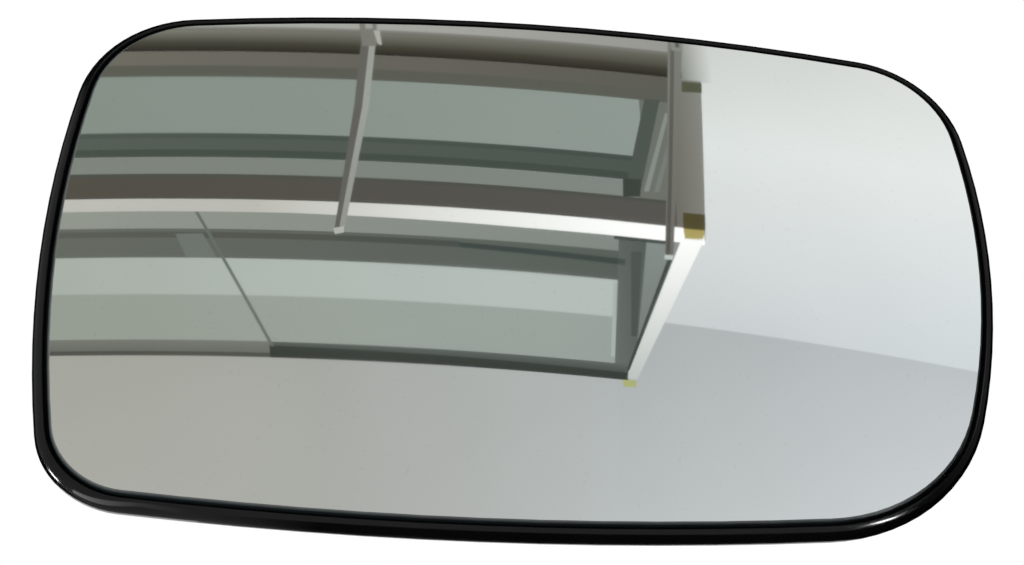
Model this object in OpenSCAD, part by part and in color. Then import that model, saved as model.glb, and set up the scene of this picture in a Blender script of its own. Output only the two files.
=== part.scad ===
// Door mirror glass on its clip-on carrier.
// The glass stands upright as it is mounted: it faces -Y, +Z is up, and the
// origin is the centre of the clip collar's mouth, behind the glass.
// Each shape is drawn lying down, face towards +Z, and in_place() stands it up.

/* [Mirror face] */
// Radius of the convex mirror face
face_r = 1400; // [900:10:2400]
// Distance of the lower left corner to the left of the collar's axis
low_left_x = 81; // [74:0.5:88]
// Distance of the lower left corner below the collar's axis
low_left_y = 53; // [49:0.5:58]
// Distance of the lower right corner to the right of the collar's axis
low_right_x = 74.5; // [70:0.5:80]
// Distance of the lower right corner below the collar's axis
low_right_y = 43.5; // [41:0.5:48]
// Distance of the upper right corner to the right of the collar's axis
top_right_x = 76.5; // [71:0.5:82]
// Distance of the upper right corner above the collar's axis
top_right_y = 53.5; // [49:0.5:58]
// Distance of the upper left corner to the left of the collar's axis
top_left_x = 75; // [70:0.5:80]
// Distance of the upper left corner above the collar's axis
top_left_y = 46; // [43:0.5:51]
// Bulge of the bottom side
bulge_bottom = 5.6; // [3:0.1:8]
// Bulge of the right side
bulge_right = 8.5; // [5:0.1:11]
// Bulge of the top side
bulge_top = 4.5; // [3:0.1:7]
// Bulge of the left side
bulge_left = 5.6; // [3:0.1:8]
// Radius of the lower left corner
round_low_left = 13.5; // [9:0.5:20]
// Radius of the lower right corner
round_low_right = 33; // [24:0.5:36]
// Radius of the upper right corner
round_top_right = 18.5; // [12:0.5:26]
// Radius of the upper left corner
round_top_left = 21.5; // [14:0.5:28]

/* [Glass and pads] */
// Thickness of the glass
glass_t = 2; // [1.6:0.1:3]
// Width and depth of the ground bevel round the face
bevel_w = 0.4; // [0.2:0.05:0.8]
// Thickness of the heating pad
heater_t = 0.4; // [0.3:0.05:0.8]
// Distance from the edge of the glass to the heating pad
heater_inset = 3; // [2:0.5:8]
// Thickness of the adhesive foam
foam_t = 0.6; // [0.4:0.1:1.2]
// Distance from the edge of the glass to the adhesive foam
foam_inset = 4; // [2.5:0.5:9]

/* [Surround] */
// Gap between the edge of the glass and the surround
edge_gap = 0.2; // [0.1:0.05:0.4]
// Width of the surround from the edge of the glass
rim_w = 2.4; // [1.8:0.1:3.4]
// Distance of the surround's round behind the face
rim_setback = 0.1; // [0:0.05:0.4]
// Radius of the surround's front round
rim_front_r = 2.45; // [1.8:0.05:3]
// Radius of the surround's back round
rim_back_r = 2.4; // [1.2:0.05:3]
// Depth of the groove between the glass and the surround
groove_d = 1.1; // [0.8:0.05:1.4]
// Width of the groove between the glass and the surround
groove_w = 0.8; // [0.4:0.05:1.2]
// Distance that the surround reaches behind the plate
rim_past = 0.4; // [0.2:0.1:2]
// Width of the ledge under the edge of the glass
ledge_w = 1.4; // [0.8:0.1:2]
// Clearance between the ledge and the glass
ledge_gap = 0.1; // [0.05:0.05:0.2]

/* [Carrier plate] */
// Thickness of the plate
plate_t = 1.8; // [1.4:0.1:3]
// Number of ribs on the back
rib_count = 12; // [6:2:12]
// Thickness of a rib
rib_t = 1.4; // [0.8:0.1:1.8]
// Height of a rib behind the plate
rib_h = 2.5; // [1.5:0.1:3.5]
// Distance from the edge of the glass to the end of a rib
rib_inset = 5; // [3:0.5:10]
// Distance from the clip collar to the ring that the ribs start from
hub_gap = 4.3; // [3.3:0.1:6]
// Wall of the ring that the ribs start from
hub_ring_t = 1.6; // [1:0.1:2.4]
// Height of that ring behind the plate
hub_ring_h = 4; // [2.5:0.5:6]

/* [Clip collar] */
// Height of the collar's mouth behind the plate
collar_h = 10; // [9:0.5:14]
// Outside radius of the ring that the actuator rests on
stop_r = 21; // [18:0.5:22]
// Wall of that ring
stop_t = 1.6; // [1:0.1:2.4]
// Height of that ring behind the plate
stop_h = 3; // [2:0.1:4]
// Distance from that ring out to the snap lip
stop_gap = 2.5; // [1.5:0.25:3]
// Length of the lip's cylindrical land
lip_land = 2; // [1.2:0.1:3]
// Length of the lead-in behind the land
lead_in = 1.2; // [0.8:0.1:1.5]
// Depth of the pocket behind the lip
catch_d = 1; // [0.6:0.1:1.5]
// Wall of the collar
collar_t = 2.2; // [1.8:0.1:2.8]
// Number of fingers
finger_count = 8; // [6:2:10]
// Width of the slots between the fingers
slot_w = 3; // [1.5:0.1:4]
// Height of the collar below the slots
slot_root = 2; // [1.5:0.1:3]
// Length of a window in the plate under a lip
core_l = 9; // [5:0.5:10]

/* [Retaining spring] */
// Thickness of the spring wire
wire_d = 1.6; // [1:0.1:1.8]
// Distance from the mouth of the collar to the middle of the wire
wire_h = 3; // [2.5:0.1:4]
// Depth of the wire's groove in the collar
wire_groove_d = 0.8; // [0.4:0.1:1]
// Clearance round the wire in its groove
wire_gap = 0.05; // [0.02:0.01:0.1]
// Angle of the gap between the ends of the spring
spring_open = 24; // [12:1:40]

/* [Terminals] */
// Distance between the middles of the terminals
terminal_pitch = 18; // [16:0.5:22]
// Distance from the ring of the ribs to the wall round a terminal window
terminal_gap = 2.7; // [1.5:0.1:4]
// Width of a spade blade
blade_w = 6.3; // [4.8:0.1:6.5]
// Thickness of a spade blade and its foot
blade_t = 0.8; // [0.5:0.1:1]
// Length of a spade blade behind its foot
blade_l = 9; // [7:0.5:12]
// Chamfer of the corners at a blade's tip
blade_tip = 1.3; // [0.8:0.1:1.6]
// Length of the foot in the plate's window
foot_l = 6; // [4:0.5:7]
// Clearance between the foot and the heating pad
foot_gap = 0.02; // [0.01:0.01:0.1]
// Diameter of the detent hole in a blade
detent_d = 1.8; // [1.4:0.1:2.4]
// Distance from a blade's tip to its detent hole
detent_drop = 3.6; // [2.6:0.1:4.6]
// Width of a terminal window in the plate
window_w = 11; // [10:0.5:12]
// Height of a terminal window in the plate
window_l = 9; // [8:0.5:10]
// Radius of a window's corners
window_r = 1; // [0.5:0.1:2]
// Clearance of the foam round a window
foam_window_gap = 0.5; // [0.2:0.1:1]
// Wall round a window
guard_t = 1.2; // [0.8:0.1:1.6]
// Height of that wall behind the plate
guard_h = 2.5; // [1.5:0.1:5]

/* [Hidden] */
$fn = 96;
SPHERE_FN = 256;
SMALL_FN = 32;
SIDE_STEPS = 12;
CORNER_STEPS = 14;
FRONT_STEPS = 7;
BACK_STEPS = 5;
GROOVE_STEPS = 4;
// How far a cut reaches past what it cuts
past = 1;

// Depths of the layers behind the mirror face
heater_d = glass_t + heater_t;
foam_d = heater_d + foam_t;
plate_d = foam_d + plate_t;
rim_d = max(plate_d + rim_past, rim_setback + rim_front_r + rim_back_r);

// Heights over the mouth of the collar
face_h = collar_h + plate_d;
plate_mid_h = collar_h + plate_t / 2;
centre_h = face_h - face_r;

// Rings of the back, from the middle outwards, and the row of terminals below them
lip_r = stop_r + stop_gap;
pocket_r = lip_r + catch_d;
collar_r = pocket_r + collar_t;
hub_ring_r = collar_r + hub_gap;
guard_l = window_l + 2 * guard_t;
terminal_drop = hub_ring_r + hub_ring_t + terminal_gap + guard_l / 2;
wire_r = wire_d / 2;
wire_ring_r = collar_r - wire_groove_d + wire_gap + wire_r;

// Corners and sides of the face, counterclockwise from the lower left
CORNERS = [
    [-low_left_x, -low_left_y],
    [low_right_x, -low_right_y],
    [top_right_x, top_right_y],
    [-top_left_x, top_left_y],
];
BULGES = [bulge_bottom, bulge_right, bulge_top, bulge_left];
ROUNDS = [round_low_left, round_low_right, round_top_right, round_top_left];

// Outline of the face: four bulged sides joined by tangent corner arcs.

function wrap(i) = i % 4;
function direction(a) = [cos(a), sin(a)];
function angle_of(v) = atan2(v[1], v[0]);
function after(a, start) = a < start ? a + 360 : a;

// Radius and centre of side i, from its two corners and its bulge
function half_chord(i) = norm(CORNERS[wrap(i + 1)] - CORNERS[i]) / 2;
function side_r(i) = (half_chord(i) ^ 2 + BULGES[i] ^ 2) / (2 * BULGES[i]);
function side_centre(i) =
    let (a = CORNERS[i], b = CORNERS[wrap(i + 1)], along = (b - a) / norm(b - a))
    (a + b) / 2 + [-along[1], along[0]] * (side_r(i) - BULGES[i]);

// Where two circles cross, on the side nearer to a point
function crossing(c0, r0, c1, r1, near) =
    let (
        gap = norm(c1 - c0),
        along = (c1 - c0) / gap,
        reach = (r0 ^ 2 - r1 ^ 2 + gap ^ 2) / (2 * gap),
        aside = [-along[1], along[0]] * sqrt(r0 ^ 2 - reach ^ 2),
        foot = c0 + along * reach
    )
    norm(foot + aside - near) < norm(foot - aside - near) ? foot + aside : foot - aside;

// Centre of the arc that rounds corner i and meets both its sides
function round_centre(i) =
    let (before = wrap(i + 3))
    crossing(
        side_centre(before), side_r(before) - ROUNDS[i],
        side_centre(i), side_r(i) - ROUNDS[i],
        CORNERS[i]
    );
function round_start(i) = angle_of(round_centre(i) - side_centre(wrap(i + 3)));
function round_end(i) = after(angle_of(round_centre(i) - side_centre(i)), round_start(i));
function side_end(i) =
    after(angle_of(round_centre(wrap(i + 1)) - side_centre(i)), round_end(i));

// Stations round the outline, each [centre, radius, angle]
STATIONS = [
    for (i = [0:3]) each [
        for (k = [0:CORNER_STEPS - 1])
            [round_centre(i), ROUNDS[i],
             round_start(i) + (round_end(i) - round_start(i)) * k / CORNER_STEPS],
        for (k = [0:SIDE_STEPS - 1])
            [side_centre(i), side_r(i),
             round_end(i) + (side_end(i) - round_end(i)) * k / SIDE_STEPS],
    ],
];
function outline_point(s, grow) = s[0] + direction(s[2]) * (s[1] + grow);
function outline(grow) = [for (s = STATIONS) outline_point(s, grow)];

// Height of the face over the mouth of the collar, depth below it
function face_z(p) = centre_h + sqrt(face_r ^ 2 - p * p);

// Solid ring that follows the outline and the curve of the face.
// Each profile point is [outwards from the edge of the glass, up from the face].
module edge_sweep(profile) {
    n = len(STATIONS);
    m = len(profile);
    polyhedron(
        points = [
            for (s = STATIONS, q = profile)
                let (p = outline_point(s, bevel_w + q[0]))
                [p[0], p[1], face_z(outline_point(s, bevel_w)) + q[1]]
        ],
        faces = [
            for (i = [0:n - 1], j = [0:m - 1])
                let (k = (i + 1) % n, l = (j + 1) % m)
                [i * m + j, k * m + j, k * m + l, i * m + l]
        ]
    );
}

// Everything inside the outline, grown by a width from the edge of the glass
module outline_prism(grow) {
    linear_extrude(face_h + past)
        polygon(outline(bevel_w + grow));
}

// The ball that the face lies on, shrunk by a depth.
// Its poles lie to the sides, away from the part of it that is used.
module face_ball(depth) {
    translate([0, 0, centre_h])
        rotate([0, 90, 0])
            sphere(face_r - depth, $fn = SPHERE_FN);
}

// Shaped sheet between two depths behind the face
module face_layer(top, bottom, grow) {
    difference() {
        intersection() {
            outline_prism(grow);
            face_ball(top);
        }
        face_ball(bottom);
    }
}

// Moves a shape to a place on the face and tilts it square to the face there
module on_face(x, y, depth) {
    p = [x, y];
    tilt = asin(norm(p) / face_r);
    translate([0, 0, centre_h])
        rotate([0, 0, angle_of(p)])
            rotate([0, tilt, 0])
                translate([0, 0, face_r - depth])
                    rotate([0, 0, -angle_of(p)])
                        children();
}

module in_place() {
    rotate([90, 0, 0])
        children();
}

module rounded_rectangle(w, l, r) {
    square([w - 2 * r, l], center = true);
    square([w, l - 2 * r], center = true);
    for (x = [-1, 1], y = [-1, 1])
        translate([x * (w / 2 - r), y * (l / 2 - r)])
            circle(r, $fn = SMALL_FN);
}

module at_terminals() {
    for (side = [-1, 1])
        translate([side * terminal_pitch / 2, -terminal_drop, 0])
            children();
}

// Convex glass, silvered behind, with a ground bevel round its face

function bevel_profile() =
    let (spare = bevel_w / 2)
    [
        [spare, -bevel_w - spare],
        [spare, spare],
        [-bevel_w - spare, spare],
    ];

module mirror_glass() {
    color("lightsteelblue")
        in_place()
            difference() {
                face_layer(0, glass_t, 0);
                edge_sweep(bevel_profile());
            }
}

// Pads between the glass and the plate

module heating_pad() {
    color("peru")
        in_place()
            face_layer(glass_t, heater_d, -heater_inset);
}

module adhesive_pad() {
    color("gainsboro")
        in_place()
            difference() {
                face_layer(heater_d, foam_d, -foam_inset);
                at_terminals()
                    linear_extrude(face_h)
                        rounded_rectangle(
                            window_w + 2 * foam_window_gap,
                            window_l + 2 * foam_window_gap,
                            window_r
                        );
            }
}

// Carrier: surround, plate, ribs and clip collar in one moulding

// Height of the surround's round over a distance from the edge of the glass
function rim_top(u) =
    rim_front_r * sin(acos((u - rim_w + rim_front_r) / rim_front_r))
    - rim_setback - rim_front_r;

function surround_profile() =
    let (
        crest_u = edge_gap + groove_w,
        crest_a = acos((crest_u - rim_w + rim_front_r) / rim_front_r)
    )
    [
        [-ledge_w, -glass_t - ledge_gap],
        [edge_gap, -glass_t - ledge_gap],
        for (k = [0:GROOVE_STEPS - 1])
            [edge_gap + groove_w * k / GROOVE_STEPS,
             -groove_d + (rim_top(crest_u) + groove_d) * (1 - cos(180 * k / GROOVE_STEPS)) / 2],
        for (k = [0:FRONT_STEPS])
            let (a = crest_a * (1 - k / FRONT_STEPS))
            [rim_w - rim_front_r, -rim_setback - rim_front_r] + direction(a) * rim_front_r,
        for (k = [0:BACK_STEPS])
            let (a = -90 * k / BACK_STEPS)
            [rim_w - rim_back_r, -rim_d + rim_back_r] + direction(a) * rim_back_r,
        [-ledge_w, -rim_d],
    ];

module plate() {
    difference() {
        face_layer(foam_d, plate_d, -ledge_w / 2);
        at_terminals()
            linear_extrude(face_h)
                rounded_rectangle(window_w, window_l, window_r);
        core_windows();
    }
}

// Windows through which the mould forms the lip of each finger
module core_windows() {
    for (i = [0:finger_count - 1])
        rotate((i + 0.5) * 360 / finger_count)
            translate([lip_r, -core_l / 2, collar_h / 2])
                cube([catch_d, core_l, collar_h]);
}

module ribs() {
    reach = max([for (c = CORNERS) norm(c)]);
    intersection() {
        face_layer(plate_d - plate_t / 2, plate_d + rib_h, -rib_inset);
        for (i = [0:rib_count - 1])
            rotate(i * 360 / rib_count)
                translate([hub_ring_r + hub_ring_t / 2, -rib_t / 2, 0])
                    cube([reach, rib_t, face_h]);
    }
}

// Round wall on the back, from inside the plate to a height behind it
module ring_wall(r, t, h) {
    translate([0, 0, collar_h - h - r ^ 2 / (2 * face_r)])
        rotate_extrude()
            translate([r, 0])
                square([t, h + plate_t / 2]);
}

module window_guards() {
    at_terminals()
        translate([0, 0, collar_h - guard_h - terminal_drop ^ 2 / (2 * face_r)])
            linear_extrude(guard_h + plate_t / 2)
                difference() {
                    rounded_rectangle(
                        window_w + 2 * guard_t, guard_l, window_r + guard_t
                    );
                    rounded_rectangle(window_w, window_l, window_r);
                }
}

module collar_wall() {
    rotate_extrude()
        polygon([
            [lip_r, 0],
            [lip_r, lip_land],
            [pocket_r, lip_land + catch_d],
            [pocket_r, plate_mid_h],
            [collar_r, plate_mid_h],
            [collar_r, wire_h + wire_r + wire_gap],
            [collar_r - wire_groove_d, wire_h + wire_r + wire_gap],
            [collar_r - wire_groove_d, wire_h - wire_r - wire_gap],
            [collar_r, wire_h - wire_r - wire_gap],
            [collar_r, -lead_in],
            [lip_r + lead_in, -lead_in],
        ]);
}

module clip_collar() {
    slot_top = collar_h - slot_root;
    difference() {
        collar_wall();
        for (i = [0:finger_count / 2 - 1])
            rotate(i * 360 / finger_count)
                translate([-collar_r - past, -slot_w / 2, -lead_in - past])
                    cube([2 * (collar_r + past), slot_w, slot_top + lead_in + past]);
    }
}

module carrier_plate() {
    color("#1b1c1d")
        in_place() {
            edge_sweep(surround_profile());
            plate();
            ribs();
            ring_wall(hub_ring_r, hub_ring_t, hub_ring_h);
            ring_wall(stop_r - stop_t, stop_t, stop_h);
            window_guards();
            clip_collar();
        }
}

// Wire ring that keeps the fingers closed

module retaining_spring() {
    color("silver")
        in_place()
            translate([0, 0, wire_h])
                rotate(90 + spring_open / 2)
                    rotate_extrude(angle = 360 - spring_open)
                        translate([wire_ring_r, 0])
                            circle(wire_r, $fn = SMALL_FN);
}

// Spade terminals of the heating pad

module blade_outline() {
    difference() {
        polygon([
            [-blade_w / 2, 0],
            [blade_w / 2, 0],
            [blade_w / 2, blade_l - blade_tip],
            [blade_w / 2 - blade_tip, blade_l],
            [-blade_w / 2 + blade_tip, blade_l],
            [-blade_w / 2, blade_l - blade_tip],
        ]);
        translate([0, blade_l - detent_drop])
            circle(detent_d / 2);
    }
}

module terminal(side) {
    color("gold")
        in_place()
            on_face(side * terminal_pitch / 2, -terminal_drop, heater_d + foot_gap)
                translate([0, 0, -blade_t]) {
                    translate([-blade_w / 2, -foot_l / 2, 0])
                        cube([blade_w, foot_l, blade_t]);
                    translate([0, -foot_l / 2 + blade_t, blade_t])
                        rotate([90, 0, 0])
                            mirror([0, 1, 0])
                                linear_extrude(blade_t)
                                    blade_outline();
                }
}

mirror_glass();
heating_pad();
adhesive_pad();
carrier_plate();
terminal(-1);  // terminal_left
terminal(1);  // terminal_right
retaining_spring();
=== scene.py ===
"""Looks of a door mirror glass on its clip-on carrier, hung face forwards in a plain studio.

The mirror shows what stands in front of it, so the studio holds a set of flat cards, the mock-up of a
glazed gallery under a pale ceiling. Only mirrored rays see the cards. Lengths are in metres, except on
the cards, which are laid out in millimetres.
"""

import math

import bpy
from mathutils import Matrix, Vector, geometry

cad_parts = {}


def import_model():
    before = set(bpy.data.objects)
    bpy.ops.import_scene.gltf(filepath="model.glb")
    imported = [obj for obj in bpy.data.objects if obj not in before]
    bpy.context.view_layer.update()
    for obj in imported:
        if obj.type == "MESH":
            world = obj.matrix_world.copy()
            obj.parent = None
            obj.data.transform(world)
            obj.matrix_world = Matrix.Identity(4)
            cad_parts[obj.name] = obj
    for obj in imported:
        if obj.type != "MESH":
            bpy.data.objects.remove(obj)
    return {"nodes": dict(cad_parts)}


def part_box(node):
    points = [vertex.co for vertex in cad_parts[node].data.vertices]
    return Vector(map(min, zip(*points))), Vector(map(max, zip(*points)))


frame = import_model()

MM = 0.001
ORIGIN = Vector((0, 0, 0))
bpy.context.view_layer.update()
NODES = frame["nodes"]

# Camera
AIM = Vector((-0.00272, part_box("mirror_glass")[0].y, -0.00437))
CAMERA_AZIMUTH = -9.24
CAMERA_ELEVATION = -35.64
CAMERA_DISTANCE = 0.9
SENSOR_W = 36
LENS = 177.67
CLIP_NEAR = 0.01
CLIP_FAR = 50

# Mirror
FACE_R = 1.4
GROUND_EDGE = 0.45 * MM
PLATE_BACK = 5.2 * MM
BACK_FADE = 0.1 * MM
MIRRORED = 0.9
FACE_TOP = Vector((0, AIM.y, 0))
BALL_CENTRE = Vector((0, AIM.y + FACE_R, 0))

# Smooth shading
WELD = 0.002 * MM
CARRIER_FOLD = 32
SPRING_FOLD = 40

# Floor
FLOOR_Z = -0.62
FLOOR_REACH = 40.0

# Lamps: place, size, power, and whether the object mirrors the lamp
LAMPS = {
    "lamp_key": ((-0.7, -0.9, 1.0), 0.7, 6, False),
    "lamp_low_left": ((-0.95, -0.35, -0.42), 0.3, 10, False),
    "lamp_back": ((0, 1.1, 0), 0.9, 3.5, True),
    "lamp_back_left": ((-0.9, 0.6, 0.7), 0.4, 9, False),
    "lamp_back_right": ((0.9, 0.8, 0.2), 0.4, 3, False),
}

# Cards in front of the mirror, and the drop of the gallery's lines for each unit across
CARDS_DISTANCE = 2.0
LAYER_GAP = 4 * MM
CARD_STEPS = 12
FALL = 0.034
FAR_LEFT = -500

# Booth round the object
BOOTH_LEFT = -1.5
BOOTH_RIGHT = 1.5
BOOTH_BACK = 1.2
BOOTH_LOW = FLOOR_Z + 10 * MM
BOOTH_HIGH = 1.8
FLAG_ABOVE_FRONT = -0.8
DIM_FLOOR_SIDE = 6
DIM_FLOOR_FRONT = -8
DIM_FLOOR_GREY = 0.4
BLACK = 0
# Side walls: place across, front end, where a black flag takes over, and the greys of the corners
SIDES = {
    "side_left": (BOOTH_LEFT, -2.4, 0.9, (0.36,)),
    "side_right": (BOOTH_RIGHT, -1.1, 0.2, (0.34, 0.34, BLACK, BLACK)),
}

# Panels close under the object: the lip's front corners, and the back and front corners of the sheen
UNDER_Z = -58.5 * MM
LIP_BACK = 0.1
LIP_FADE = (-0.056, -0.0122)
LIP_LEFT = (-0.036, -0.0130)
LIP_RIGHT = (0.15, -0.0202)
SHEEN_START = ((-0.084, -0.0065), (-0.084, -0.0102))
SHEEN_KNEE = ((-0.067, -0.0118), (-0.067, -0.0146))
SHEEN_END = ((-0.058, -0.0105), (-0.058, -0.0133))
SHEEN_BRIGHT = 4.4
SHEEN_MIDDLE = 0.9

# Panels that draw the glints: corners as azimuth and elevation
GLINT_LEFT = ((-122, -7), (-112, -9), (-111, -19), (-121, -19))
GLINT_LEFT_GLOW = 36
GLINT_RIGHT = ((45, -24), (60, -21), (63, -29), (49, -32))
GLINT_RIGHT_GLOW = 54
LOW_RIGHT = Vector((0.064, -0.012, -0.046))
TOP_LEFT = Vector((-0.0705, -0.0118, 0.0455))
SLIVER_DISTANCE = 0.12


def direction(azimuth, elevation):
    a = math.radians(azimuth)
    e = math.radians(elevation)
    return Vector((math.sin(a) * math.cos(e), -math.cos(a) * math.cos(e), math.sin(e)))


def linear(rgb):
    """An 8-bit sRGB colour as linear light."""
    return tuple(
        c / 255 / 12.92 if c / 255 < 0.04045 else ((c / 255 + 0.055) / 1.055) ** 2.4
        for c in rgb
    )


# Materials


class Nodes:
    """A material's node tree, with short calls for the nodes used here."""

    def __init__(self, name):
        self.material = bpy.data.materials.new(name)
        self.material.use_nodes = True
        self.tree = self.material.node_tree
        self.tree.nodes.clear()
        self.output = self.add("ShaderNodeOutputMaterial")

    def add(self, kind, **settings):
        node = self.tree.nodes.new(kind)
        for key, value in settings.items():
            setattr(node, key, value)
        return node

    def put(self, socket, value):
        """Links an output to a socket, or sets the socket's own value."""
        if isinstance(value, bpy.types.NodeSocket):
            self.tree.links.new(value, socket)
        else:
            socket.default_value = value

    def shader(self, **sockets):
        node = self.add("ShaderNodeBsdfPrincipled")
        for key, value in sockets.items():
            self.put(node.inputs[key.replace("_", " ")], value)
        self.put(self.output.inputs["Surface"], node.outputs["BSDF"])
        return self.material

    def place(self):
        return self.add("ShaderNodeTexCoord").outputs["Object"]

    def from_ball_centre(self):
        """The way from the centre of the mirror's sphere to the place."""
        return self.vector("SUBTRACT", self.place(), tuple(BALL_CENTRE))

    def math(self, operation, a, b=0.0):
        node = self.add("ShaderNodeMath", operation=operation)
        self.put(node.inputs[0], a)
        self.put(node.inputs[1], b)
        return node.outputs[0]

    def vector(self, operation, a, b=(0, 0, 0)):
        node = self.add("ShaderNodeVectorMath", operation=operation)
        self.put(node.inputs[0], a)
        self.put(node.inputs[1], b)
        return node.outputs["Value" if operation in ("DOT_PRODUCT", "LENGTH") else "Vector"]

    def scaled(self, value, scale):
        node = self.add("ShaderNodeVectorMath", operation="SCALE")
        self.put(node.inputs[0], value)
        self.put(node.inputs["Scale"], scale)
        return node.outputs["Vector"]

    def noise(self, scale, detail=3.0, stretch=(1, 1, 1)):
        where = self.vector("MULTIPLY", self.place(), stretch)
        node = self.add("ShaderNodeTexNoise")
        self.put(node.inputs["Vector"], where)
        self.put(node.inputs["Scale"], scale)
        self.put(node.inputs["Detail"], detail)
        return node.outputs["Fac"]

    def fit(self, value, low, high, new_low=0.0, new_high=1.0):
        """The value moved from one range to another, and held inside it."""
        node = self.add("ShaderNodeMapRange")
        for key, number in (
            ("Value", value), ("From Min", low), ("From Max", high),
            ("To Min", new_low), ("To Max", new_high),
        ):
            self.put(node.inputs[key], number)
        return node.outputs["Result"]

    def blend(self, amount, a, b, kind="RGBA"):
        node = self.add("ShaderNodeMix", data_type=kind)
        sockets = {"RGBA": (0, 6, 7), "FLOAT": (0, 2, 3), "VECTOR": (0, 4, 5)}[kind]
        out = {"RGBA": 2, "FLOAT": 0, "VECTOR": 1}[kind]
        for number, value in zip(sockets, (amount, a, b)):
            if kind == "RGBA" and isinstance(value, tuple):
                value = (*value, 1)
            self.put(node.inputs[number], value)
        return node.outputs[out]

    def bump(self, height, distance, strength=1.0):
        node = self.add("ShaderNodeBump")
        self.put(node.inputs["Height"], height)
        self.put(node.inputs["Distance"], distance)
        self.put(node.inputs["Strength"], strength)
        return node.outputs["Normal"]


def mirror_material():
    """Silvered face with faint wiping marks, and a ground edge painted with sheen next to the face and
    shade further back.
    """
    n = Nodes("mirror_face")
    way = n.from_ball_centre()
    ball_normal = n.vector("NORMALIZE", way)
    own_normal = n.add("ShaderNodeNewGeometry").outputs["True Normal"]
    facing = n.vector("DOT_PRODUCT", own_normal, ball_normal)
    face = n.fit(facing, low=0.93, high=0.97)
    wiped = n.noise(scale=14, detail=4, stretch=(1, 1, 3))
    specks = n.fit(n.noise(scale=900, detail=2), low=0.66, high=0.74)
    grain = n.noise(scale=2500, detail=2)
    silver = n.blend(wiped, (0.885, 0.892, 0.888), (0.915, 0.918, 0.915))
    silver = n.blend(n.math("MULTIPLY", specks, 0.10), silver, (0.55, 0.54, 0.52))
    radius = n.vector("LENGTH", way)
    upper = n.fit(radius, low=FACE_R - GROUND_EDGE, high=FACE_R)
    # Painted sheen and shade: the ground edge runs from light next to the silvered face to near black
    # further back.
    edge_painted_shade = n.blend(grain, (0.006, 0.009, 0.010), (0.012, 0.016, 0.017))
    edge_painted_sheen = n.blend(grain, (0.085, 0.095, 0.090), (0.125, 0.135, 0.130))
    ground = n.blend(n.math("POWER", upper, 1.6), edge_painted_shade, edge_painted_sheen)
    gloss = n.fit(wiped, low=0.3, high=0.7, new_low=0.008, new_high=0.018)
    return n.shader(
        Base_Color=n.blend(face, ground, silver),
        Metallic=face,
        Roughness=n.blend(face, 0.42, gloss, "FLOAT"),
        Specular_IOR_Level=0.18,
        Normal=n.blend(face, own_normal, ball_normal, "VECTOR"),
    )


def black_plastic_material():
    """Glossy round edge, and a finely grained back."""
    n = Nodes("black_plastic")
    normal = n.add("ShaderNodeSeparateXYZ")
    n.put(normal.inputs[0], n.add("ShaderNodeTexCoord").outputs["Normal"])
    facing_back = n.fit(normal.outputs["Y"], low=0.25, high=0.6)
    radius = n.vector("LENGTH", n.from_ball_centre())
    back_r = FACE_R - PLATE_BACK
    behind_plate = n.fit(radius, low=back_r - BACK_FADE, high=back_r, new_low=1.0, new_high=0.0)
    back = n.math("MAXIMUM", facing_back, behind_plate)
    cloud = n.noise(scale=60, detail=4)
    grain = n.noise(scale=1800, detail=2)
    black = n.blend(cloud, (0.0011, 0.0011, 0.0012), (0.0022, 0.0022, 0.0024))
    grey = n.blend(cloud, (0.019, 0.0192, 0.0198), (0.029, 0.0293, 0.030))
    gloss = n.fit(cloud, low=0.3, high=0.7, new_low=0.13, new_high=0.19)
    matt = n.fit(grain, low=0.3, high=0.7, new_low=0.36, new_high=0.5)
    return n.shader(
        Base_Color=n.blend(back, black, grey),
        Roughness=n.blend(back, gloss, matt, "FLOAT"),
        Specular_IOR_Level=0.38,
        Normal=n.bump(n.math("MULTIPLY", grain, back), distance=0.00004, strength=0.6),
    )


def film_material():
    """Printed film of the heating pad."""
    n = Nodes("heating_film")
    cloud = n.noise(scale=220)
    return n.shader(
        Base_Color=n.blend(cloud, (0.30, 0.17, 0.07), (0.38, 0.22, 0.10)),
        Roughness=n.fit(cloud, low=0.3, high=0.7, new_low=0.3, new_high=0.42),
        Normal=n.bump(n.noise(scale=900, detail=2), distance=0.00002),
    )


def foam_material():
    """Closed-cell foam of the adhesive pad, with painted shade in its sunken pores."""
    n = Nodes("foam")
    cells = n.add("ShaderNodeTexVoronoi")
    n.put(cells.inputs["Vector"], n.place())
    n.put(cells.inputs["Scale"], 2600.0)
    pores_and_shade = n.fit(cells.outputs["Distance"], low=0.1, high=0.6)
    return n.shader(
        # Painted shade: each pore is darker where the bump sinks it.
        Base_Color=n.blend(pores_and_shade, (0.36, 0.36, 0.35), (0.62, 0.62, 0.60)),
        Roughness=0.9,
        Normal=n.bump(pores_and_shade, distance=0.00008),
    )


def metal_material(name, dark, light, rough, stretch):
    """Rolled or drawn metal, with marks along one direction."""
    n = Nodes(name)
    marks = n.noise(scale=700, stretch=stretch)
    return n.shader(
        Base_Color=n.blend(marks, dark, light),
        Metallic=1.0,
        Roughness=n.fit(marks, low=0.3, high=0.7, new_low=rough - 0.06, new_high=rough + 0.06),
        Normal=n.bump(marks, distance=0.00001, strength=0.5),
    )


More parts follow.
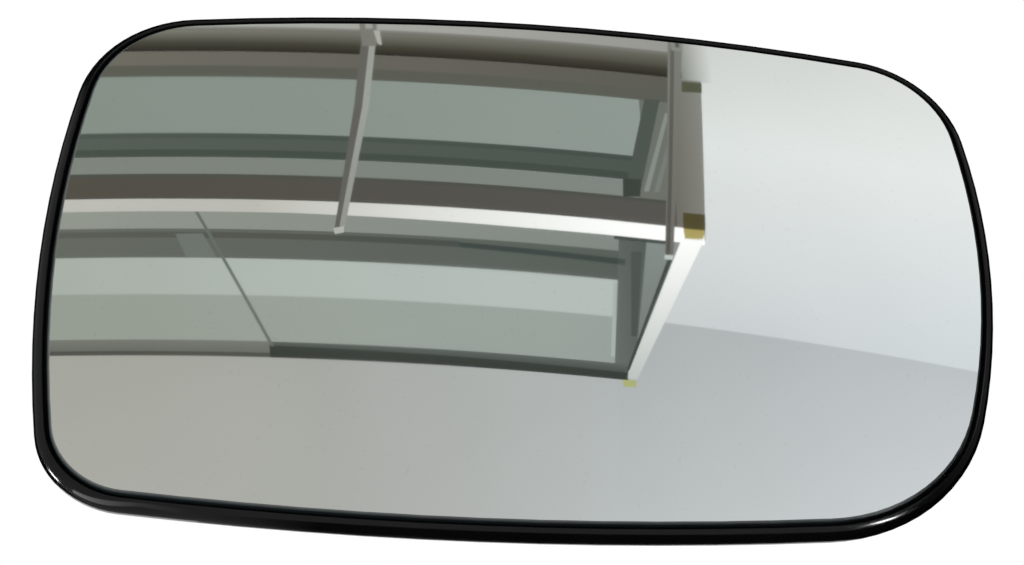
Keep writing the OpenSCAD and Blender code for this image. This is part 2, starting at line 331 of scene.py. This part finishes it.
def smooth(node, fold):
    """Shades a node smooth over edges flatter than an angle, without moving a point of its mesh."""
    tree = bpy.data.node_groups.new(f"smooth_{node.name}", "GeometryNodeTree")
    tree.interface.new_socket("Geometry", in_out="INPUT", socket_type="NodeSocketGeometry")
    tree.interface.new_socket("Geometry", in_out="OUTPUT", socket_type="NodeSocketGeometry")
    start = tree.nodes.new("NodeGroupInput")
    plain = tree.nodes.new("GeometryNodeRemoveAttribute")
    plain.inputs["Name"].default_value = "custom_normal"
    weld = tree.nodes.new("GeometryNodeMergeByDistance")
    weld.inputs["Distance"].default_value = WELD
    faces = tree.nodes.new("GeometryNodeSetShadeSmooth")
    faces.domain = "FACE"
    sharp = tree.nodes.new("FunctionNodeCompare")
    sharp.operation = "GREATER_THAN"
    sharp.inputs["B"].default_value = math.radians(fold)
    angle = tree.nodes.new("GeometryNodeInputMeshEdgeAngle")
    edges = tree.nodes.new("GeometryNodeSetShadeSmooth")
    edges.domain = "EDGE"
    edges.inputs["Shade Smooth"].default_value = False
    end = tree.nodes.new("NodeGroupOutput")
    for a, b in (
        (start.outputs[0], plain.inputs["Geometry"]),
        (plain.outputs[0], weld.inputs["Geometry"]),
        (weld.outputs[0], faces.inputs["Geometry"]),
        (angle.outputs["Unsigned Angle"], sharp.inputs["A"]),
        (sharp.outputs[0], edges.inputs["Selection"]),
        (faces.outputs[0], edges.inputs["Geometry"]),
        (edges.outputs[0], end.inputs[0]),
    ):
        tree.links.new(a, b)
    node.modifiers.new("smooth", "NODES").node_group = tree


def dress():
    """Gives each node its finish, and shades the round ones smooth."""
    brass = metal_material(
        "terminal_brass", dark=(0.62, 0.43, 0.17), light=(0.78, 0.57, 0.27), rough=0.28, stretch=(1, 1, 6),
    )
    steel = metal_material(
        "spring_steel", dark=(0.36, 0.36, 0.37), light=(0.52, 0.52, 0.53), rough=0.24, stretch=(1, 6, 1),
    )
    finishes = {
        "mirror_glass": mirror_material(),
        "carrier_plate": black_plastic_material(),
        "heating_pad": film_material(),
        "adhesive_pad": foam_material(),
        "terminal_left": brass,
        "terminal_right": brass,
        "retaining_spring": steel,
    }
    for name, material in finishes.items():
        mesh = NODES[name].data
        mesh.materials.clear()
        mesh.materials.append(material)
    smooth(NODES["carrier_plate"], CARRIER_FOLD)
    smooth(NODES["retaining_spring"], SPRING_FOLD)


# Mirrored surroundings


def card_material():
    """Glows with the colour of the card, a little uneven."""
    n = Nodes("card")
    colour = n.add("ShaderNodeVertexColor", layer_name="shade").outputs["Color"]
    uneven = n.fit(n.noise(scale=3.0), low=0.3, high=0.7, new_low=0.96, new_high=1.04)
    glow = n.add("ShaderNodeEmission")
    n.put(glow.inputs["Color"], n.scaled(colour, uneven))
    n.put(n.output.inputs["Surface"], glow.outputs[0])
    n.material.cycles.emission_sampling = "NONE"
    return n.material


CARD = card_material()
OUT = direction(-CAMERA_AZIMUTH, -CAMERA_ELEVATION)
ACROSS = Vector((0, 0, 1)).cross(OUT).normalized()
UP = OUT.cross(ACROSS)


def grid_mesh(name, corners, colours):
    """A patch with a colour at each corner: top left, top right, bottom right and bottom left."""
    mesh = bpy.data.meshes.new(name)
    steps = range(CARD_STEPS + 1)

    def between(four, s, t):
        top = four[0].lerp(four[1], s)
        return top.lerp(four[3].lerp(four[2], s), t)

    shares = [(i / CARD_STEPS, j / CARD_STEPS) for j in steps for i in steps]
    side = CARD_STEPS + 1
    mesh.from_pydata(
        [between(corners, s, t) for s, t in shares],
        [],
        [
            (j * side + i, j * side + i + 1, (j + 1) * side + i + 1, (j + 1) * side + i)
            for j in range(CARD_STEPS)
            for i in range(CARD_STEPS)
        ],
    )
    shade = mesh.color_attributes.new("shade", "FLOAT_COLOR", "POINT")
    for item, (s, t) in zip(shade.data, shares):
        item.color = (*between(colours, s, t), 1)
    return mesh


def only_mirrored(name, corners, shades):
    """A glowing patch that only mirrored rays see."""
    thing = bpy.data.objects.new(name, grid_mesh(name, corners, shades))
    thing.data.materials.append(CARD)
    bpy.context.scene.collection.objects.link(thing)
    thing.visible_camera = False
    thing.visible_diffuse = False
    thing.visible_transmission = False
    thing.visible_shadow = False


# The cards carry the gallery's light and shade painted in: lit and shaded sides, painted shadows and
# glows.
def card(name, corners, colours, layer=0):
    """A card that only mirrored rays see, around the place that the middle of the face mirrors.

    Corners are (across, up) in millimetres from that place. A higher layer lies closer to the mirror.
    """
    if isinstance(colours[0], (int, float)):
        colours = [colours] * 4
    middle = FACE_TOP + OUT * (CARDS_DISTANCE - layer * LAYER_GAP)
    places = [middle + ACROSS * (a * MM) + UP * (u * MM) for a, u in corners]
    only_mirrored(name, places, [Vector(linear(c)) / MIRRORED for c in colours])


def level(height, across):
    """Height of a sloping line at a place across the view."""
    return height - FALL * across


def bar(name, top, bottom, left, right, left_colour, right_colour, layer=1, foot=None):
    """A long card between two sloping lines, with an optional colour for its foot."""
    corners = [
        (left, level(top, left)), (right, level(top, right)),
        (right, level(bottom, right)), (left, level(bottom, left)),
    ]
    card(name, corners, [left_colour, right_colour, foot or right_colour, foot or left_colour], layer)


def hall():
    """The pale ceiling and the wall under it, with a plain card behind them."""
    left = 185
    right = 540
    top = 330
    middle = 165
    foot = -330
    ridge_left = -49
    ridge_right = -72
    knee = -215
    bend = 90
    card("card_hall", [(-900, 900), (900, 900), (900, -900), (-900, -900)], (196, 199, 196), -1)
    card("card_ceiling_high", [(left, top), (right, top), (right, middle), (left, middle)],
         [(196, 200, 195), (224, 225, 222), (229, 233, 232), (218, 223, 221)])
    card("card_ceiling_low", [(left, middle), (right, middle), (right, ridge_right), (85, ridge_left)],
         [(218, 223, 221), (229, 233, 232), (207, 214, 217), (200, 204, 205)])
    card("card_wall", [(bend, ridge_left), (right, ridge_right), (right, foot), (bend, foot)],
         [(172, 177, 177), (190, 194, 198), (219, 223, 226), (188, 193, 193)], 1)
    card("card_wall_left", [(FAR_LEFT, ridge_left), (knee, ridge_left), (knee, foot), (FAR_LEFT, foot)],
         [(165, 165, 156), (163, 165, 159), (170, 171, 166), (172, 172, 165)], 1)
    card("card_wall_middle", [(knee, ridge_left), (bend, ridge_left), (bend, foot), (knee, foot)],
         [(163, 165, 159), (174, 179, 179), (188, 193, 193), (170, 171, 166)], 1)


def upper_storey():
    """Soffit, beams, panes and the bright strip of the upper storey, from the top down."""
    edge = 172
    beam_end = 168
    band_end = 122
    strip_knee = -260
    strip_left = (187, 186, 179)
    strip_bright = (236, 237, 233)
    bar("card_soffit_lit", 340, 281, FAR_LEFT, 186, (182, 183, 177), (148, 149, 143), 2)
    bar("card_soffit_edge", 283, 278, FAR_LEFT, edge, (156, 156, 150), (121, 122, 115), 3, (107, 106, 97))
    bar("card_soffit", 278, 263, FAR_LEFT, edge, (131, 131, 122), (102, 102, 93), 3, (74, 73, 63))
    bar("card_soffit_foot", 263, 251, FAR_LEFT, edge, (76, 75, 65), (68, 66, 57), 3, (42, 40, 33))
    bar("card_beam_top", 250.5, 233, FAR_LEFT, beam_end, (113, 110, 101), (92, 91, 84), 4)
    bar("card_beam_foot", 233, 219, FAR_LEFT, beam_end, (91, 92, 82), (91, 93, 85), 4)
    bar("card_pane_top", 220, 149, FAR_LEFT, 128, (133, 143, 134), (141, 151, 145), 2)
    bar("card_band_top", 149.5, 119.5, FAR_LEFT, band_end, (88, 96, 88), (77, 85, 79), 3)
    bar("card_band_top_head", 148.5, 143, FAR_LEFT, band_end, (80, 88, 80), (69, 79, 72), 4)
    bar("card_band_top_foot", 129, 120.5, FAR_LEFT, band_end, (73, 82, 72), (67, 75, 69), 4)
    bar("card_pane_mid", 119.5, 99, FAR_LEFT, band_end, (127, 133, 124), (126, 133, 127), 2)
    bar("card_beam_low", 99.5, 69, FAR_LEFT, beam_end, (83, 79, 71), (85, 84, 80), 3)
    bar("card_beam_low_head", 99, 95, FAR_LEFT, 150, (79, 82, 74), (77, 80, 73), 4)
    bar("card_strip_left", 68.5, 54, FAR_LEFT, strip_knee, (190, 189, 182), strip_left, 5)
    card("card_strip", [(strip_knee, 77.4), (0, 68.4), (0, 50.8), (strip_knee, 63)],
         [strip_left, strip_bright, strip_bright, strip_left], 5)
    bar("card_strip_right", 68.4, 50.7, 0, 184, strip_bright, (262, 263, 261), 5)
    bar("card_strip_shadow", 50.6, 46.5, 94, 152, (62, 70, 67), (62, 70, 67), 5)


def lower_storey():
    """Panes, bands, panels and the sill of the lower storey, from the top down."""
    band_end = 104
    panel_end = 100
    sill_end = 101
    sill_knee = -255
    bar("card_pane_low", 54, 32, FAR_LEFT, band_end, (147, 152, 143), (128, 135, 129), 2)
    bar("card_band_low", 33, -2, FAR_LEFT, band_end, (102, 106, 98), (88, 95, 89), 3)
    bar("card_band_low_head", 29, 22, FAR_LEFT, -60, (93, 96, 88), (74, 79, 73), 4)
    card("card_band_low_right", [(-60, 30), (band_end, 20), (band_end, 13), (-60, 24)], (64, 72, 69), 4)
    bar("card_panel_top", -2, -46, FAR_LEFT, panel_end, (168, 175, 167), (181, 190, 185), 2)
    bar("card_panel_foot", -46, -100, FAR_LEFT, panel_end, (151, 157, 147), (153, 162, 156), 2)
    bar("card_sill_left", -100, -119, FAR_LEFT, sill_knee,
        (120, 123, 115), (118, 121, 113), 3, (100, 103, 95))
    bar("card_sill_left_foot", -113.5, -118, FAR_LEFT, sill_knee, (82, 84, 77), (80, 82, 75), 4)
    bar("card_sill", -100, -111, sill_knee, sill_end, (88, 95, 89), (98, 105, 100), 5, (74, 80, 75))
    card("card_sill_foot", [(sill_knee, -95.5), (sill_end, -113.4), (sill_end, -122), (sill_knee, -109.8)],
         [(62, 67, 61), (60, 65, 60), (56, 61, 57), (57, 62, 57)], 6)
    card("card_post", [(-340, 38), (-313, 38), (-301, 9), (-331, 9)], (110, 116, 110), 5)
    card("card_diagonal", [(-318.5, 64), (-315, 64), (-250, -97), (-253.5, -97)], (103, 110, 102), 6)


def gallery_end():
    """The jamb, the slanting strip and the board at the gallery's right end."""
    card("card_jamb_edge", [(91, -8), (97, -8), (91, -96), (85, -96)], (170, 179, 174), 3)
    card("card_jamb", [(99, 50), (127, 50), (108, -110), (88, -110)],
         [(92, 99, 94), (84, 91, 87), (96, 102, 98), (106, 112, 108)], 4)
    card("card_jamb_core", [(110, 30), (121, 30), (112, -70), (106, -70)], (78, 85, 81), 4.5)
    card("card_return", [(125, 50), (165, 50), (108, -104), (106, -104)],
         [(132, 140, 137), (132, 140, 137), (118, 123, 118), (118, 123, 118)], 3)
    card("card_slant_shadow", [(147, 27), (152, 27), (99, -119), (97, -119)], (60, 68, 62), 5)
    card("card_slant", [(161, 50), (184, 52), (110, -120), (99, -120)],
         [(252, 253, 251), (252, 253, 251), (190, 196, 193), (190, 196, 193)], 6)
    card("card_slant_foot", [(95.5, -121.5), (109, -121.5), (108.5, -129.5), (96, -129.5)],
         (172, 177, 120), 6)
    card("card_upper_return", [(120, 222), (176, 222), (166, 62), (104, 62)], (106, 111, 104), 1)
    card("card_upper_jamb", [(133, 216), (148, 216), (123, 104), (108, 104)], (77, 85, 78), 5)
    card("card_upper_corner", [(106, 117), (124, 117), (122, 96), (105, 95)], (61, 68, 61), 6)
    card("card_upper_streak", [(152, 200), (156, 200), (131, 103), (126, 103)], (132, 139, 132), 6)
    card("card_upper_glow", [(156, 176), (160, 176), (141, 103), (136, 103)], (118, 123, 117), 6)
    card("card_board", [(161, 244), (190.5, 244), (185, 50), (157, 50)],
         [(112, 113, 105), (134, 135, 128), (126, 124, 118), (108, 106, 99)], 4)
    card("card_board_cap", [(171, 241), (190.5, 241), (190, 229), (170, 228)], (84, 86, 69), 6)
    card("card_board_foot", [(163.5, 81), (185.5, 81), (185, 62), (163, 62)], (78, 73, 47), 6)
    card("card_board_sole", [(163, 62), (184.5, 62), (182, 50), (164, 50)], (168, 155, 93), 6)
    card("card_shade", [(172, 300), (202, 300), (201, 243), (172, 243)],
         [(150, 152, 146), (207, 210, 207), (205, 208, 204), (128, 134, 124)], 3)


def rods():
    """The two hanging rods, each with its light side, tip and fittings."""
    top = 300
    knee = 190
    foot = 27
    knee_light = (156, 160, 153)
    card("card_rod_left_upper", [(-135.5, top), (-127, top), (-144.4, knee), (-152.7, knee)],
         (100, 99, 94), 7)
    card("card_rod_left_lower", [(-152.7, knee), (-144.4, knee), (-176, 40), (-182, 40)],
         (98, 97, 92), 7)
    card("card_rod_left_light", [(-127, top), (-121, top), (-138, knee), (-144.4, knee)],
         [(152, 156, 149), (152, 156, 149), knee_light, knee_light], 8)
    card("card_rod_left_light_lower", [(-144.4, knee), (-138, knee), (-170.5, 46), (-176, 46)],
         [knee_light, knee_light, (146, 147, 142), (146, 147, 142)], 8)
    card("card_rod_left_tip", [(-182, 43), (-171, 46), (-172, 38), (-181, 36)], (174, 178, 170), 9)
    card("card_rod_left_clamp", [(-140, 293), (-123, 293), (-125, 264), (-139, 264)], (122, 121, 114), 9)
    card("card_rod_left_clip", [(-126.5, 283), (-120.5, 283), (-119.5, 265), (-123.5, 266)],
         (172, 172, 166), 10)
    card("card_rod_left_knob", [(-134, 294), (-127, 294), (-127, 285), (-134, 285)], (158, 158, 152), 10)
    card("card_rod_right", [(160.5, top), (175, top), (151, foot), (143, foot)],
         [(123, 124, 117), (123, 124, 117), (106, 104, 99), (106, 104, 99)], 7)
    card("card_rod_right_line", [(163, top), (167, top), (147.5, foot), (144, foot)],
         [(98, 100, 92), (98, 100, 92), (82, 80, 75), (82, 80, 75)], 8)
    card("card_rod_right_tip", [(142.5, 29), (151, 29), (150, 23.5), (142, 23.5)], (190, 197, 190), 9)
    card("card_rod_right_knob", [(162, 290), (174, 290), (173, 277), (162, 277)], (134, 135, 129), 9)
    card("card_rod_right_bolt", [(166, 287), (170, 287), (170, 281), (166, 281)], (90, 90, 84), 10)


def panel(name, corners, *glows):
    """A studio flag or glowing panel that only mirrored rays see, of one grey or of one at each corner."""
    shades = [Vector((glow, glow, glow)) for glow in (glows * 4)[:4]]
    only_mirrored(name, [Vector(c) for c in corners], shades)


def upright(name, start, end, *glows):
    """A panel as high as the booth, between two points (across, deep)."""
    places = [(*start, BOOTH_HIGH), (*end, BOOTH_HIGH), (*end, BOOTH_LOW), (*start, BOOTH_LOW)]
    panel(name, places, *glows)


def flat(name, z, points, *glows):
    """A level panel with corners (across, deep)."""
    panel(name, [(*point, z) for point in points], *glows)


def lip(name, left, right, *glows):
    """A level panel close under the object, from two front corners straight back."""
    flat(name, UNDER_Z, [(left[0], LIP_BACK), (right[0], LIP_BACK), right, left], *glows)


def booth():
    """A dim floor, dim side walls, and black flags behind, above and close under the object."""
    side = DIM_FLOOR_SIDE
    flat("floor_dim", BOOTH_LOW,
         [(-side, BOOTH_BACK), (side, BOOTH_BACK), (side, DIM_FLOOR_FRONT), (-side, DIM_FLOOR_FRONT)],
         DIM_FLOOR_GREY)
    lip("flag_lip", LIP_LEFT, LIP_RIGHT, BLACK)
    lip("flag_lip_end", LIP_FADE, LIP_LEFT, DIM_FLOOR_GREY, BLACK, BLACK, DIM_FLOOR_GREY)
    upright("flag_behind", (BOOTH_LEFT, BOOTH_BACK), (BOOTH_RIGHT, BOOTH_BACK), BLACK)
    flat("flag_above", BOOTH_HIGH,
         [(BOOTH_LEFT, FLAG_ABOVE_FRONT), (BOOTH_RIGHT, FLAG_ABOVE_FRONT),
          (BOOTH_RIGHT, BOOTH_BACK), (BOOTH_LEFT, BOOTH_BACK)],
         BLACK)
    for name, (x, front, back, greys) in SIDES.items():
        upright(name, (x, front), (x, back), *greys)
        upright(f"{name}_flag", (x, back), (x, BOOTH_BACK), BLACK)


def sliver(name, angles, seen_from, hidden_from, glow):
    """A panel seen broadside from one place on the rim, and edge on from another."""
    rays = [direction(*a) for a in angles]
    middle = sum(rays, Vector()).normalized()
    along = seen_from + middle * SLIVER_DISTANCE - hidden_from
    square = along.cross(along.cross(middle))
    panel(
        name,
        [geometry.intersect_line_plane(seen_from, seen_from + ray, hidden_from, square) for ray in rays],
        glow,
    )


def glints():
    """Bright panels for the glints on the lower corners, and dimmer ones for the sheen by the left one."""
    panel("glint_left", [direction(*a) for a in GLINT_LEFT], GLINT_LEFT_GLOW)
    sliver("glint_right", GLINT_RIGHT, LOW_RIGHT, TOP_LEFT, GLINT_RIGHT_GLOW)
    for name, start, end, start_glow, end_glow in (
        ("sheen", SHEEN_START, SHEEN_KNEE, SHEEN_BRIGHT, SHEEN_MIDDLE),
        ("sheen_end", SHEEN_KNEE, SHEEN_END, SHEEN_MIDDLE, DIM_FLOOR_GREY),
    ):
        points = [start[0], end[0], end[1], start[1]]
        flat(name, UNDER_Z, points, start_glow, end_glow, end_glow, start_glow)


# Studio


def lamp(name, place, size, power, shows):
    """A round lamp aimed at the origin."""
    data = bpy.data.lights.new(name, "AREA")
    data.shape = "DISK"
    data.size = size
    data.energy = power
    thing = bpy.data.objects.new(name, data)
    thing.location = place
    thing.rotation_mode = "QUATERNION"
    thing.rotation_quaternion = (ORIGIN - Vector(place)).to_track_quat("-Z", "Y")
    bpy.context.scene.collection.objects.link(thing)
    thing.visible_camera = False
    thing.visible_glossy = shows


def floor_material():
    """Plain pale floor, faintly cloudy."""
    n = Nodes("floor")
    return n.shader(
        Base_Color=n.blend(n.noise(scale=1.5), (0.86, 0.865, 0.87), (0.91, 0.915, 0.92)),
        Roughness=0.75,
        Normal=n.bump(n.noise(scale=120), distance=0.0002),
    )


def floor():
    far = FLOOR_REACH
    mesh = bpy.data.meshes.new("floor")
    mesh.from_pydata(
        [(-far, -far, FLOOR_Z), (far, -far, FLOOR_Z), (far, far, FLOOR_Z), (-far, far, FLOOR_Z)],
        [],
        [(0, 1, 2, 3)],
    )
    mesh.materials.append(floor_material())
    thing = bpy.data.objects.new("floor", mesh)
    bpy.context.scene.collection.objects.link(thing)


def world():
    """White where it is seen or mirrored, and a softer grey where it lights."""
    made = bpy.data.worlds.new("studio")
    made.use_nodes = True
    tree = made.node_tree
    tree.nodes.clear()
    path = tree.nodes.new("ShaderNodeLightPath")
    seen = tree.nodes.new("ShaderNodeMath")
    seen.operation = "MAXIMUM"
    shown = tree.nodes.new("ShaderNodeMath")
    shown.operation = "MAXIMUM"
    soft = tree.nodes.new("ShaderNodeBackground")
    soft.inputs["Color"].default_value = (0.55, 0.56, 0.58, 1)
    white = tree.nodes.new("ShaderNodeBackground")
    white.inputs["Color"].default_value = (1, 1, 1, 1)
    mix = tree.nodes.new("ShaderNodeMixShader")
    out = tree.nodes.new("ShaderNodeOutputWorld")
    for a, b in (
        (path.outputs["Is Camera Ray"], seen.inputs[0]),
        (path.outputs["Is Glossy Ray"], seen.inputs[1]),
        (seen.outputs[0], shown.inputs[0]),
        (path.outputs["Is Transmission Ray"], shown.inputs[1]),
        (shown.outputs[0], mix.inputs[0]),
        (soft.outputs[0], mix.inputs[1]),
        (white.outputs[0], mix.inputs[2]),
        (mix.outputs[0], out.inputs[0]),
    ):
        tree.links.new(a, b)
    bpy.context.scene.world = made


def camera():
    """The photograph's view, from below and a little to the left."""
    data = bpy.data.cameras.new("camera")
    data.sensor_width = SENSOR_W
    data.lens = LENS
    data.clip_start = CLIP_NEAR
    data.clip_end = CLIP_FAR
    thing = bpy.data.objects.new("camera", data)
    back = direction(CAMERA_AZIMUTH, CAMERA_ELEVATION)
    thing.location = AIM + back * CAMERA_DISTANCE
    thing.rotation_mode = "QUATERNION"
    thing.rotation_quaternion = (-back).to_track_quat("-Z", "Y")
    bpy.context.scene.collection.objects.link(thing)
    bpy.context.scene.camera = thing


camera()
dress()
hall()
upper_storey()
lower_storey()
gallery_end()
rods()
floor()
world()
booth()
glints()
for name, settings in LAMPS.items():
    lamp(name, *settings)

bpy.context.scene.view_settings.view_transform = "Standard"
